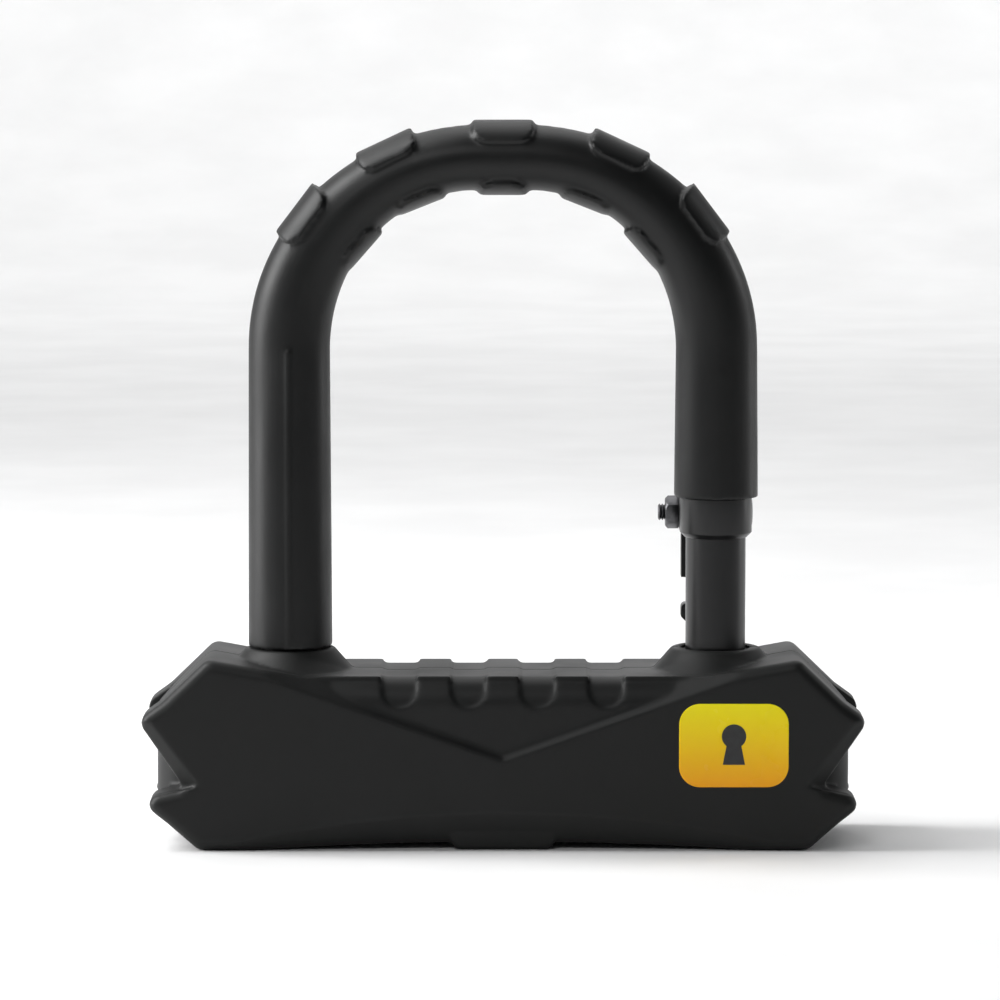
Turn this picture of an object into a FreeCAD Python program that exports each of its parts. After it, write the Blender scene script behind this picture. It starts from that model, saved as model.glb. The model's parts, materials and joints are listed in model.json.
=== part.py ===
"""U lock with a hardened shackle, a moulded crossbar cover and a disc cylinder.

Frame: millimetres, +X to the right, +Y to the back, +Z up. The origin is on the
surface that the lock stands on, under the middle of the crossbar. The shackle is
home and the two deadbolts are drawn back, so the lock is shut but not locked.
"""
import FreeCAD
import Part
import math
import os

V = FreeCAD.Vector
AXIS_X = V(1, 0, 0)
AXIS_Y = V(0, 1, 0)
AXIS_Z = V(0, 0, 1)

# ---- Shackle ----
ROD_R = 7.2             # hardened steel bar, 14.4 mm across
LEG_X = 51.1            # centreline of each leg
BEND_R = 45.6           # centreline radius of each bend
BEND_Z = 118.5          # height where the legs start to bend
BEND_X = LEG_X - BEND_R
CROWN_Z = BEND_Z + BEND_R
ROD_TIP_Z = 10.0
TIP_CHAMFER = 1.5
NOTCH_Z = (28.0, 35.2)  # deadbolt notch in the inner side of each leg
NOTCH_X = (43.0, 47.7)

# ---- Rubber sleeve on the shackle ----
SLEEVE_BORE = 7.25
SLEEVE_DEPTH = 9.8      # half thickness from front to back
SLEEVE_LEG = 9.75       # half thickness across a leg
SLEEVE_CROWN = 7.8      # half thickness across the crown
SLEEVE_FOOT = 10.08     # half thickness at the foot of a leg
SLEEVE_LEFT_Z = 46.9    # foot of the long left side
SLEEVE_RIGHT_Z = 82.9   # foot of the short right side
BEND_SECTIONS = 9
LUG_RISE = 1.2
OUTER_LUG_LENGTH = 14.6
OUTER_LUG_ANGLES = (37.2, 65.0)
INNER_LUG_LENGTH = 11.5
INNER_LUG_ANGLES = (41.2, 68.4)
OUTER_LUG_WRAP = 62.0   # degrees of the section that a lug covers, each way
INNER_LUG_WRAP = 48.0
LUG_CORNER_R = 3.0

# ---- Transport bracket clamp on the right leg ----
RING_R = 8.64
RING_BORE = 7.25
RING_Z = (73.2, 82.8)
RING_CHAMFER = 1.2
EAR_INSIDE = 5.0        # half the gap between the two ears
EAR_BACK = 15.0
BOLT_Y = 10.5
BOLT_Z = 78.0
BOLT_R = 2.0
HEAD_SEAT_R = 4.0
HEAD_SEAT_DEPTH = 1.6
HEAD_R = 3.8
HEAD_RISE = 2.2
NUT_FLATS = 7.0
NUT_THICK = 3.2
NUT_CHAMFER = 0.7
BOLT_TAIL = 1.7
BOLT_SOCKET = 2.5       # across the flats of the hexagon socket in the head
BOLT_PLAY = 0.15
TONGUE_PLAY = 0.1
TONGUE_FRONT_Y = 7.6
TONGUE_STEM = 4.0       # half width of the stem
TONGUE_WING = 7.8       # half width of the slide wings
TONGUE_Y = (13.0, 18.0)
UPPER_WING_Z = (61.8, 73.0)
LOWER_WING_Z = (49.1, 55.3)

# ---- Crossbar covers ----
PANEL_Y = 20.0          # outer face of the armour panels
PANEL_INNER_Y = 9.0
CORE_Y = 18.8           # outer face of the body above the panels
CORE_END_X = 71.3       # middle of the rounded core ends
CORE_END_R = 12.0
TOP_Z = 41.5
TOP_EDGE_R = 7.0        # long top edges between the bosses
HORN_EDGE_R = 3.5       # top edges of the horns
PANEL_EDGE_R = 2.6
CORE_CORNERS = ((47.0, TOP_Z, 15.0), (70.3, 45.8, 3.0), (83.3, 32.8, 2.0), (83.3, 8.6, 2.0),
                (74.4, 0.0, 2.5))
PANEL_CORNERS = ((47.0, TOP_Z, 15.0), (70.3, 45.8, 2.8), (80.9, 35.6, 4.0), (87.0, 31.2, 2.8),
                 (76.0, 14.9, 1.2), (82.6, 13.4, 2.8), (85.6, 10.9, 2.4), (79.8, 6.3, 4.0),
                 (72.6, 0.0, 2.8))
NOTCH_FACET = ((71.9, 15.7), (83.6, 31.1), (96.0, 31.1), (96.0, 14.0), (80.0, 14.0))
NOTCH_SLANT = V(3.6, 3.0, -1.2)  # runs from the outer face into the notch
V_LOW_Z = 21.6          # lowest point of the V step
V_SLOPE = 0.356
GRIP_X = (8.2, 24.6)
GRIP_HALF = 4.3
GRIP_DEPTH = 0.5
GRIP_FOOT_Z = 34.3
GRIP_CORNER_R = 4.0
ARCH_TOP_Z = 9.2        # bevel along the lower edge of each face
ARCH_R = 289.5
FOOT_ARCH_HALF = 60.0   # shallow arch under the cover, between its two feet
FOOT_ARCH_RISE = 1.7
PAD_CORNERS = ((13.8, 6.5, 0.5), (11.5, 0.0, 2.0))  # middle pad that holds the keyhole
PAD_Y = (-17.6, 18.8)
BOSS_TOP_Z = 46.6
BOSS_FOOT_Z = 34.0
BOSS_TOP_R = 10.5
BOSS_FLARE = 0.87
BOSS_EDGE_R = 0.8
BOSS_BULGE_Y = 2.0      # the front and back of a boss flare more than its sides
BOSS_BULGE_FLARE = 1.23
BOSS_BULGE_DROP = 1.0
PASSAGE_R = 8.0
SEAL_Z = (42.6, 46.0)
SEAL_R = (7.3, 9.6)
SEAL_PLAY = 0.1
SPLIT_GAP = 0.15
SCREW_PLACES = ((76.0, 31.0), (74.2, 7.6), (-76.0, 31.0), (-74.2, 7.6))
SCREW_SEAT_R = 3.1
SCREW_SEAT_Y = 17.0
SCREW_HEAD_R = 2.8
SCREW_HEAD_H = 2.2
SCREW_R = 1.45
SCREW_PILOT_R = 1.5
SCREW_CLEAR_R = 1.7
SCREW_TIP_Y = -11.0

# ---- Badge ----
BADGE_X = 54.8
BADGE_Z = 25.5
BADGE_HALF = (13.0, 10.0)
BADGE_CORNER_R = 5.0
BADGE_DEPTH = 0.3
BADGE_PLAY = 0.08

# ---- Keyhole dust cover ----
DUST_HALF = (7.6, 7.0)  # half width at its top and at its foot
DUST_Y = (-7.5, 7.5)
DUST_Z = (0.35, 1.95)
DUST_PLAY = 0.2
DUST_SIDE_PLAY = 0.15
DUST_CORNER_R = 0.3
DUST_TRAVEL = 10.0

# ---- Steel crossbar ----
TUBE_X = 70.0
TUBE_Y = 16.0
TUBE_Z = (4.0, 38.0)
TUBE_WALL = 3.5
TUBE_R = 4.0
TUBE_PLAY = 0.2
LEG_HOLE_R = 7.5
INSIDE_Z = (7.6, 34.4)
INSIDE_Y = 12.3
PLUG_LENGTH = 3.8
GUIDE_X = (36.0, 66.0)
SHELF_X = 28.0
SHELF_Z = 27.9
GUIDE_BORE = 7.35
GUIDE_FLOOR_Z = 9.8
CHANNEL_HALF = 5.1
CHANNEL_Z = 28.8
GUIDE_PIN_X = (40.0, 62.0)
GUIDE_PIN_Z = 15.0
GUIDE_PIN_R = 2.0
GUIDE_PIN_END = 15.9

# ---- Lock cylinder ----
HOUSING_R = 9.5
HOUSING_Z = (2.3, 24.0)
FLANGE_R = 11.8
FLANGE_Z = (7.6, 9.6)
HOUSING_BORE = 6.55
LIP_BORE = 5.6
LIP_TOP_Z = 4.2
SET_SCREW_Y = (9.2, 15.8)
SET_SCREW_Z = 14.0
SET_SCREW_R = 2.0
PLUG_R = 6.5
PLUG_Z = (4.3, 21.5)
PLUG_BORE = 5.05
NOSE_R = 5.55
NOSE_BORE = 4.4
SIDEBAR_R = 0.95
SIDEBAR_X = 5.45
SIDEBAR_Z = (5.0, 21.0)
SIDEBAR_OUT_X = 6.35
SIDEBAR_PLAY = 0.1
SIDEBAR_SLOT_X = (4.0, 7.0)
SIDEBAR_SLOT_HALF = 1.0
DISC_COUNT = 8
DISC_R = 5.0
DISC_THICK = 1.6
DISC_PITCH = 2.1
DISC_FIRST_Z = 4.5
SPACER_THICK = 0.4
SPACER_BORE = 3.6
KEY_SLOT = (6.2, 2.4)

# ---- Cam and deadbolts ----
CAM_R = 12.0
CAM_Z = (24.4, 27.2)
TAIL_HALF = 2.3         # half of the square on the plug tail
TAIL_NECK_R = 2.3
CLIP_R = 3.3
CLIP_THICK = 0.6
CLIP_MOUTH = 1.4        # half of the clip's open side
PIN_R = 1.5
PIN_X = 5.0             # drive pins when the bolts are drawn back
BOLT_TRAVEL = 4.5       # travel of a deadbolt for a quarter turn of the key
SLOT_HALF = 1.6
SLOT_STEPS = 12
PLATE_X = 35.8
PLATE_Z = (28.0, 28.8)
PLATE_SCREW_X = 32.0
PLATE_SCREW_Y = 8.0
PLATE_SCREW_R = 1.25
PLATE_SCREW_FOOT_Z = 20.0
PLATE_SCREW_HEAD_R = 2.5
PLATE_SCREW_HEAD_H = 1.6
BOLT_SLIDE_X = (2.6, 42.9)
BOLT_SLIDE_Y = 5.0
BOLT_SLIDE_Z = (28.9, 34.2)


# ---------------------------------------------------------------- helpers
def box(x, y, z):
    """A block between pairs of limits."""
    return Part.makeBox(x[1] - x[0], y[1] - y[0], z[1] - z[0], V(x[0], y[0], z[0]))


def rod(radius, start, end):
    """A round bar between two points."""
    run = V(*end) - V(*start)
    return Part.makeCylinder(radius, run.Length, V(*start), run)


def outline(corners):
    """A closed wire in the XZ plane. Each corner is (x, z, radius)."""
    turns = []
    for i, (x, z, radius) in enumerate(corners):
        here = V(x, 0, z)
        before = corners[i - 1]
        after = corners[(i + 1) % len(corners)]
        back = (V(before[0], 0, before[1]) - here).normalize()
        ahead = (V(after[0], 0, after[1]) - here).normalize()
        half = back.getAngle(ahead) / 2
        run = radius / math.tan(half)
        middle = here + (back + ahead).normalize() * (radius / math.sin(half) - radius)
        turns.append((here + back * run, middle, here + ahead * run))
    edges = []
    for i, (start, middle, end) in enumerate(turns):
        if (end - start).Length > 1e-6:
            edges.append(Part.Arc(start, middle, end).toShape())
        edges.append(Part.LineSegment(end, turns[(i + 1) % len(turns)][0]).toShape())
    return Part.Wire(edges)


def both_sides(corners):
    """Right-hand corners, listed from top to bottom, and their mirror images."""
    return list(corners) + [(-x, z, radius) for x, z, radius in reversed(corners)]


def slab(corners, y):
    """A plate with the outline of the corners, between two depths."""
    face = Part.Face(outline(corners))
    face.translate(V(0, y[0], 0))
    return face.extrude(V(0, y[1] - y[0], 0))


def rounded_box_y(x, y, z, radius):
    """A block whose four long edges along Y are round."""
    corners = ((x[1], z[1], radius), (x[1], z[0], radius), (x[0], z[0], radius), (x[0], z[1], radius))
    return slab(corners, y)


def rounded_bar_x(x, y, z, radius):
    """A block whose four long edges along X are round."""
    block = box(x, y, z)
    edges = [edge for edge in block.Edges if edge.BoundBox.XLength > 1]
    return block.makeFillet(radius, edges)


def mirror_x(shape):
    return shape.mirror(V(0, 0, 0), AXIS_X)


def mirror_y(shape):
    return shape.mirror(V(0, 0, 0), AXIS_Y)


def join(shapes):
    whole = shapes[0].fuse(shapes[1:])
    return whole.removeSplitter()


def save(name, *solids):
    """Write one node, as one solid or as a group of separate solids."""
    shape = solids[0] if len(solids) == 1 else Part.makeCompound(list(solids))
    if not shape.isValid():
        raise ValueError(name + " is not a valid shape")
    shape.exportStep("parts/" + name + ".step")
    print(name, len(shape.Solids), round(shape.Volume, 1))


# ---------------------------------------------------------------- shackle
def quarter_bend(face):
    """Turn a section at the foot of the right-hand bend up to the crown."""
    return face.revolve(V(BEND_X, 0, BEND_Z), V(0, -1, 0), 90)


def bar_shape(radius, left_z, right_z):
    """A round bar that follows the shackle, from one foot to the other."""
    circle = Part.Circle(V(LEG_X, 0, BEND_Z), AXIS_Z, radius)
    bend = quarter_bend(Part.Face(Part.Wire(circle.toShape())))
    right = rod(radius, (LEG_X, 0, right_z), (LEG_X, 0, BEND_Z))
    left = rod(radius, (-LEG_X, 0, left_z), (-LEG_X, 0, BEND_Z))
    crown = rod(radius, (-BEND_X, 0, CROWN_Z), (BEND_X, 0, CROWN_Z))
    return join([crown, bend, mirror_x(bend), right, left])


def shackle_rod():
    bar = bar_shape(ROD_R, ROD_TIP_Z, ROD_TIP_Z)
    tips = [edge for edge in bar.Edges if edge.BoundBox.ZMax < ROD_TIP_Z + 0.01]
    bar = bar.makeChamfer(TIP_CHAMFER, tips)
    notch = box(NOTCH_X, (-ROD_R, ROD_R), NOTCH_Z)
    save("shackle_rod", bar.cut([notch, mirror_x(notch)]))


def sleeve_half(angle):
    """Half thickness of the sleeve across the bend, from leg (0) to crown (90)."""
    share = min(max((angle - 5.0) / 75.0, 0.0), 1.0)
    ease = share * share * (3 - 2 * share)
    return SLEEVE_LEG + (SLEEVE_CROWN - SLEEVE_LEG) * ease


def bend_frame(angle):
    """Centre, outward direction and forward direction of the bend at an angle."""
    turn = math.radians(angle)
    outward = V(math.cos(turn), 0, math.sin(turn))
    forward = V(-math.sin(turn), 0, math.cos(turn))
    return V(BEND_X, 0, BEND_Z) + outward * BEND_R, outward, forward


def section(centre, outward, across, depth):
    """An oval section of the sleeve as a wire."""
    oval = Part.Ellipse(centre + AXIS_Y * depth, centre + outward * across, centre)
    return Part.Wire(oval.toShape())


def sleeve_leg(foot_z):
    foot = section(V(LEG_X, 0, foot_z), AXIS_X, SLEEVE_FOOT, SLEEVE_FOOT + 0.01)
    top = section(V(LEG_X, 0, BEND_Z), AXIS_X, sleeve_half(0), SLEEVE_DEPTH)
    return Part.makeLoft([foot, top], True)


def sleeve_bend():
    rings = []
    for i in range(BEND_SECTIONS):
        angle = 90.0 * i / (BEND_SECTIONS - 1)
        centre, outward = bend_frame(angle)[:2]
        rings.append(section(centre, outward, sleeve_half(angle), SLEEVE_DEPTH))
    return Part.makeLoft(rings, True)


def lug(angle, side, length, wrap):
    """A raised pad with round corners, outside (1) or inside (-1) the bend."""
    centre, outward, forward = bend_frame(angle)
    if angle == 90.0:
        centre = V(0, 0, CROWN_Z)
    across = sleeve_half(angle) + LUG_RISE
    depth = SLEEVE_DEPTH + LUG_RISE
    start = centre - forward * (length / 2)
    pad = Part.Face(section(start, outward, across, depth)).extrude(forward * length)
    low = across * math.cos(math.radians(wrap))
    half = length / 2
    keep = slab(((low, half, LUG_CORNER_R), (low, -half, LUG_CORNER_R),
                 (across + 2, -half, 0.5), (across + 2, half, 0.5)), (-depth, depth))
    turn = FreeCAD.Matrix(outward.x * side, 0, forward.x, 0,
                          0, side, 0, 0,
                          outward.z * side, 0, forward.z, 0,
                          0, 0, 0, 1)
    keep.transformShape(turn)
    keep.translate(centre)
    return pad.common(keep)


def shackle_sleeve():
    right = sleeve_leg(SLEEVE_RIGHT_Z)
    left = mirror_x(sleeve_leg(SLEEVE_LEFT_Z))
    bend = sleeve_bend()
    oval = section(V(-BEND_X, 0, CROWN_Z), AXIS_Z, SLEEVE_CROWN, SLEEVE_DEPTH)
    crown = Part.Face(oval).extrude(V(2 * BEND_X, 0, 0))
    lugs = [lug(90.0, 1, OUTER_LUG_LENGTH, OUTER_LUG_WRAP),
            lug(90.0, -1, INNER_LUG_LENGTH, INNER_LUG_WRAP)]
    for angle in OUTER_LUG_ANGLES:
        pad = lug(angle, 1, OUTER_LUG_LENGTH, OUTER_LUG_WRAP)
        lugs += [pad, mirror_x(pad)]
    for angle in INNER_LUG_ANGLES:
        pad = lug(angle, -1, INNER_LUG_LENGTH, INNER_LUG_WRAP)
        lugs += [pad, mirror_x(pad)]
    skin = crown.fuse([bend, mirror_x(bend), right, left] + lugs)
    save("shackle_sleeve", skin.cut(bar_shape(SLEEVE_BORE, SLEEVE_LEFT_Z - 1, SLEEVE_RIGHT_Z - 1)))


# ---------------------------------------------------------------- bracket clamp
def clamp_ring():
    ring = rod(RING_R, (LEG_X, 0, RING_Z[0]), (LEG_X, 0, RING_Z[1]))
    foot = [edge for edge in ring.Edges if edge.BoundBox.ZMax < RING_Z[0] + 0.01]
    ring = ring.makeChamfer(RING_CHAMFER, foot)
    ears = box((LEG_X - RING_R, LEG_X + RING_R), (0, EAR_BACK), RING_Z)
    sides = [edge for edge in ears.Edges
             if edge.BoundBox.YLength > 1 and edge.BoundBox.ZMax < RING_Z[0] + 0.01]
    ears = ears.makeChamfer(RING_CHAMFER, sides)
    gap = box((LEG_X - EAR_INSIDE, LEG_X + EAR_INSIDE), (0, EAR_BACK), RING_Z)
    bore = rod(RING_BORE, (LEG_X, 0, RING_Z[0]), (LEG_X, 0, RING_Z[1]))
    hole = rod(BOLT_R + BOLT_PLAY, (LEG_X - 20, BOLT_Y, BOLT_Z), (LEG_X + 20, BOLT_Y, BOLT_Z))
    face_x = LEG_X + RING_R
    seat = rod(HEAD_SEAT_R, (face_x - HEAD_SEAT_DEPTH, BOLT_Y, BOLT_Z), (face_x, BOLT_Y, BOLT_Z))
    save("clamp_ring", join([ring, ears]).cut([bore, gap, hole, seat]))


def bracket_tongue():
    """Stem between the ears, with wings that slide into a frame bracket."""
    half = EAR_INSIDE - TONGUE_PLAY
    block = box((LEG_X - half, LEG_X + half), (TONGUE_FRONT_Y, EAR_BACK), RING_Z)
    stem = box((LEG_X - TONGUE_STEM, LEG_X + TONGUE_STEM), TONGUE_Y, (LOWER_WING_Z[0], RING_Z[1]))
    wings = (LEG_X - TONGUE_WING, LEG_X + TONGUE_WING)
    upper = box(wings, TONGUE_Y, UPPER_WING_Z)
    low, high = LOWER_WING_Z
    outline_right = ((wings[1], high, 1.2), (wings[1], low + 3, 0.8), (wings[1] - 3, low, 0.8))
    outline_left = ((wings[0] + 3, low, 0.8), (wings[0], low + 3, 0.8), (wings[0], high, 1.2))
    lower = slab(outline_right + outline_left, TONGUE_Y)
    hole = rod(BOLT_R + BOLT_PLAY, (LEG_X - 10, BOLT_Y, BOLT_Z), (LEG_X + 10, BOLT_Y, BOLT_Z))
    save("bracket_tongue", join([block, stem, upper, lower]).cut(hole))


def clamp_bolt():
    seat_x = LEG_X + RING_R - HEAD_SEAT_DEPTH
    end_x = LEG_X - RING_R - NUT_THICK - BOLT_TAIL
    shank = rod(BOLT_R, (end_x, BOLT_Y, BOLT_Z), (seat_x, BOLT_Y, BOLT_Z))
    end = [edge for edge in shank.Edges if edge.BoundBox.XMax < end_x + 0.01]
    shank = shank.makeChamfer(0.4, end)
    head = rod(HEAD_R, (seat_x, BOLT_Y, BOLT_Z), (seat_x + HEAD_RISE, BOLT_Y, BOLT_Z))
    crown = [edge for edge in head.Edges if edge.BoundBox.XMin > seat_x + HEAD_RISE - 0.01]
    head = head.makeFillet(1.0, crown)
    socket = hexagon(BOLT_SOCKET, seat_x + 0.8, HEAD_RISE)
    save("clamp_bolt", join([shank, head]).cut(socket))


def hexagon(flats, start_x, length):
    """A six-sided bar along X on the clamp bolt's axis, with two corners up and down."""
    corner = flats / math.sqrt(3)
    points = []
    for i in range(7):
        turn = math.radians(90 + 60 * i)
        points.append(V(start_x, BOLT_Y + corner * math.cos(turn), BOLT_Z + corner * math.sin(turn)))
    return Part.Face(Part.makePolygon(points)).extrude(V(length, 0, 0))


def clamp_nut():
    nut = hexagon(NUT_FLATS, LEG_X - RING_R - NUT_THICK, NUT_THICK)
    centre = (LEG_X - RING_R - NUT_THICK, BOLT_Y, BOLT_Z)
    corner = NUT_FLATS / math.sqrt(3)
    wide = NUT_THICK + NUT_CHAMFER
    dome = Part.makeCone(corner - NUT_CHAMFER, corner - NUT_CHAMFER + wide, wide, V(*centre), AXIS_X)
    bore = rod(BOLT_R + 0.05, centre, (LEG_X - RING_R, BOLT_Y, BOLT_Z))
    save("clamp_nut", nut.common(dome).cut(bore))


# ---------------------------------------------------------------- crossbar covers
def core_block():
    """Full-depth middle of the cover with rounded top edges and narrower round ends."""
    block = slab(both_sides(CORE_CORNERS), (-CORE_Y, CORE_Y))
    top = []
    for edge in block.Edges:
        bounds = edge.BoundBox
        if bounds.YLength < 0.01 and bounds.ZMin > TOP_Z - 1:
            top.append(edge)
    block = block.makeFillet(HORN_EDGE_R, top)
    middle = rounded_bar_x((-LEG_X, LEG_X), (-CORE_Y, CORE_Y), (-20, TOP_Z), TOP_EDGE_R)
    ends = box((LEG_X, 100), (-CORE_Y, CORE_Y), (-20, 60))
    block = block.common(middle.fuse([ends, mirror_x(ends)]))
    plan = [box((-CORE_END_X, CORE_END_X), (-CORE_Y, CORE_Y), (-1, 60))]
    for x in (-CORE_END_X, CORE_END_X):
        plan.append(rod(CORE_END_R, (x, 0, -1), (x, 0, 60)))
    return block.common(plan[0].fuse(plan[1:]))


def front_panel():
    """Armour panel with horned ends. Its top edge is a V that steps back at 45 degrees."""
    panel = slab(both_sides(PANEL_CORNERS), (-PANEL_Y, -PANEL_INNER_Y))
    rim = [edge for edge in panel.Edges if edge.BoundBox.YMax < -PANEL_Y + 0.01]
    panel = panel.makeFillet(PANEL_EDGE_R, rim)
    reach = 95.0
    ahead = 2.0
    high = V_LOW_Z + V_SLOPE * reach
    points = [(0, V_LOW_Z), (reach, high), (reach, high + 20), (-reach, high + 20), (-reach, high),
              (0, V_LOW_Z)]
    above = Part.Face(Part.makePolygon([V(x, -PANEL_Y - ahead, z - ahead) for x, z in points]))
    facet = notch_facet()
    return panel.cut([above.extrude(V(0, 6, 6)), facet, mirror_x(facet)])


def notch_facet():
    """Slanted wall between the outer face and the notch in the right-hand end."""
    start = V(0, -PANEL_Y, 0) - NOTCH_SLANT
    points = [start + V(x, 0, z) for x, z in NOTCH_FACET]
    return Part.Face(Part.makePolygon(points + points[:1])).extrude(NOTCH_SLANT * 2)


def boss(x):
    """Flared collar that a shackle leg goes down into."""
    height = BOSS_TOP_Z - BOSS_FOOT_Z
    cone = Part.makeCone(BOSS_TOP_R + BOSS_FLARE * height, BOSS_TOP_R, height, V(x, 0, BOSS_FOOT_Z))
    rim = [edge for edge in cone.Edges if edge.BoundBox.ZMin > BOSS_TOP_Z - 0.01]
    cone = cone.makeFillet(BOSS_EDGE_R, rim)
    top_r = BOSS_TOP_R + BOSS_FLARE * BOSS_BULGE_DROP - BOSS_BULGE_Y
    height -= BOSS_BULGE_DROP
    bulges = []
    for y in (-BOSS_BULGE_Y, BOSS_BULGE_Y):
        bulges.append(Part.makeCone(top_r + BOSS_BULGE_FLARE * height, top_r, height,
                                    V(x, y, BOSS_FOOT_Z)))
    keep = box((x - 40, x + 40), (-CORE_Y, CORE_Y), (BOSS_FOOT_Z, BOSS_TOP_Z))
    return cone.fuse(bulges).common(keep)


def grip_groove(x):
    """A shallow band over the top that runs down the front and the back."""
    band = rounded_box_y((x - GRIP_HALF, x + GRIP_HALF), (-22, 22), (GRIP_FOOT_Z, 50), GRIP_CORNER_R)
    inside = CORE_Y - GRIP_DEPTH
    keep = rounded_bar_x((x - 10, x + 10), (-inside, inside), (20, TOP_Z - GRIP_DEPTH),
                         TOP_EDGE_R - GRIP_DEPTH)
    return band.cut(keep)


def arch_bevel():
    """Slanted cut that leaves an arched lower edge on the front."""
    half = 75.0
    ahead = 2.0
    drop = ARCH_R - math.sqrt(ARCH_R ** 2 - half ** 2)
    left = V(-half, 0, ARCH_TOP_Z - drop)
    right = V(half, 0, ARCH_TOP_Z - drop)
    arc = Part.Arc(left, V(0, 0, ARCH_TOP_Z), right).toShape()
    low = -12.0
    corners = Part.makePolygon([right, V(half, 0, low), V(-half, 0, low), left])
    face = Part.Face(Part.Wire([arc] + corners.Edges))
    face.translate(V(0, -PANEL_Y - ahead, 2 * ahead))
    return face.extrude(V(0, 14, -28))


def foot_arch():
    """Cut that leaves a shallow arch under the cover, so that it stands on its two ends."""
    radius = (FOOT_ARCH_HALF ** 2 + FOOT_ARCH_RISE ** 2) / (2 * FOOT_ARCH_RISE)
    z = FOOT_ARCH_RISE - radius
    return rod(radius, (0, -30, z), (0, 30, z))


def dust_profile(half, z, play):
    """Dovetail section of the keyhole cover, wider at its top."""
    return ((half[0] + play, z[1] + play, DUST_CORNER_R), (half[1] + play, z[0] - play, DUST_CORNER_R),
            (-half[1] - play, z[0] - play, DUST_CORNER_R), (-half[0] - play, z[1] + play, DUST_CORNER_R))


def cover_body():
    """The whole moulded cover, before it is parted into its two halves."""
    panel = front_panel()
    outside = core_block().fuse([panel, mirror_y(panel), boss(LEG_X), boss(-LEG_X)])
    bevel = arch_bevel()
    tools = [bevel, mirror_y(bevel), foot_arch()]
    for x in GRIP_X:
        tools += [grip_groove(x), grip_groove(-x)]
    outside = outside.cut(tools).fuse(slab(both_sides(PAD_CORNERS), PAD_Y))
    inner = [rounded_bar_x((-TUBE_X - TUBE_PLAY, TUBE_X + TUBE_PLAY),
                           (-TUBE_Y - TUBE_PLAY, TUBE_Y + TUBE_PLAY),
                           (TUBE_Z[0] - TUBE_PLAY, TUBE_Z[1] + TUBE_PLAY), TUBE_R)]
    for x in (-LEG_X, LEG_X):
        inner.append(rod(PASSAGE_R, (x, 0, TUBE_Z[1] - 1), (x, 0, BOSS_TOP_Z + 1)))
        inner.append(rod(SEAL_R[1] + SEAL_PLAY, (x, 0, SEAL_Z[0] - SEAL_PLAY),
                         (x, 0, SEAL_Z[1] + SEAL_PLAY)))
    inner.append(rod(HOUSING_R + 0.2, (0, 0, 1.5), (0, 0, TUBE_Z[0])))
    open_foot = (DUST_Z[0] - 1.0, DUST_Z[1])
    y = (DUST_Y[0] - DUST_PLAY, DUST_Y[1] + DUST_TRAVEL + DUST_PLAY)
    inner.append(slab(dust_profile((DUST_HALF[0], DUST_HALF[1] - 0.3), open_foot, DUST_SIDE_PLAY), y))
    return outside.cut(inner)


def front_cover(body):
    half = body.common(box((-100, 100), (-30, -SPLIT_GAP), (-5, 60)))
    tools = [badge_plate(BADGE_PLAY, 1.0)]
    for x, z in SCREW_PLACES:
        tools.append(rod(SCREW_PILOT_R, (x, SCREW_TIP_Y - 1.0, z), (x, 1, z)))
    save("front_cover", half.cut(tools))


def rear_cover(body):
    half = body.common(box((-100, 100), (SPLIT_GAP, 30), (-5, 60)))
    tools = []
    for x, z in SCREW_PLACES:
        tools.append(rod(SCREW_CLEAR_R, (x, -1, z), (x, 30, z)))
        tools.append(rod(SCREW_SEAT_R, (x, SCREW_SEAT_Y, z), (x, 30, z)))
    save("rear_cover", half.cut(tools))


def cover_screws():
    """Four screws driven from the back, with cross-slotted pan heads."""
    screws = []
    for x, z in SCREW_PLACES:
        shank = rod(SCREW_R, (x, SCREW_TIP_Y, z), (x, SCREW_SEAT_Y, z))
        head = rod(SCREW_HEAD_R, (x, SCREW_SEAT_Y, z), (x, SCREW_SEAT_Y + SCREW_HEAD_H, z))
        rim = [edge for edge in head.Edges if edge.BoundBox.YMin > SCREW_SEAT_Y + SCREW_HEAD_H - 0.01]
        head = head.makeFillet(0.8, rim)
        top = (SCREW_SEAT_Y + SCREW_HEAD_H - 1.1, SCREW_SEAT_Y + SCREW_HEAD_H + 1)
        cross = [box((x - 1.6, x + 1.6), top, (z - 0.4, z + 0.4)),
                 box((x - 0.4, x + 0.4), top, (z - 1.6, z + 1.6))]
        screws.append(join([shank, head]).cut(cross))
    save("cover_screws", *screws)


def badge_plate(grow, ahead):
    half = (BADGE_HALF[0] + grow, BADGE_HALF[1] + grow)
    return rounded_box_y((BADGE_X - half[0], BADGE_X + half[0]),
                         (-PANEL_Y - ahead, -PANEL_Y + BADGE_DEPTH),
                         (BADGE_Z - half[1], BADGE_Z + half[1]), BADGE_CORNER_R + grow)


def badge():
    save("badge", badge_plate(0, 0))


def leg_seals():
    for name, x in (("leg_seal_left", -LEG_X), ("leg_seal_right", LEG_X)):
        ring = rod(SEAL_R[1], (x, 0, SEAL_Z[0]), (x, 0, SEAL_Z[1]))
        bore = rod(SEAL_R[0], (x, 0, SEAL_Z[0]), (x, 0, SEAL_Z[1]))
        save(name, ring.cut(bore))


def dust_cover():
    plate = slab(dust_profile(DUST_HALF, DUST_Z, 0), DUST_Y)
    ridges = []
    for i in range(4):
        y = -4.5 + 1.4 * i
        ridges.append(box((-4, 4), (y, y + 0.6), (0, DUST_Z[0] + 0.4)))
    save("dust_cover", plate.cut(ridges))


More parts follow.
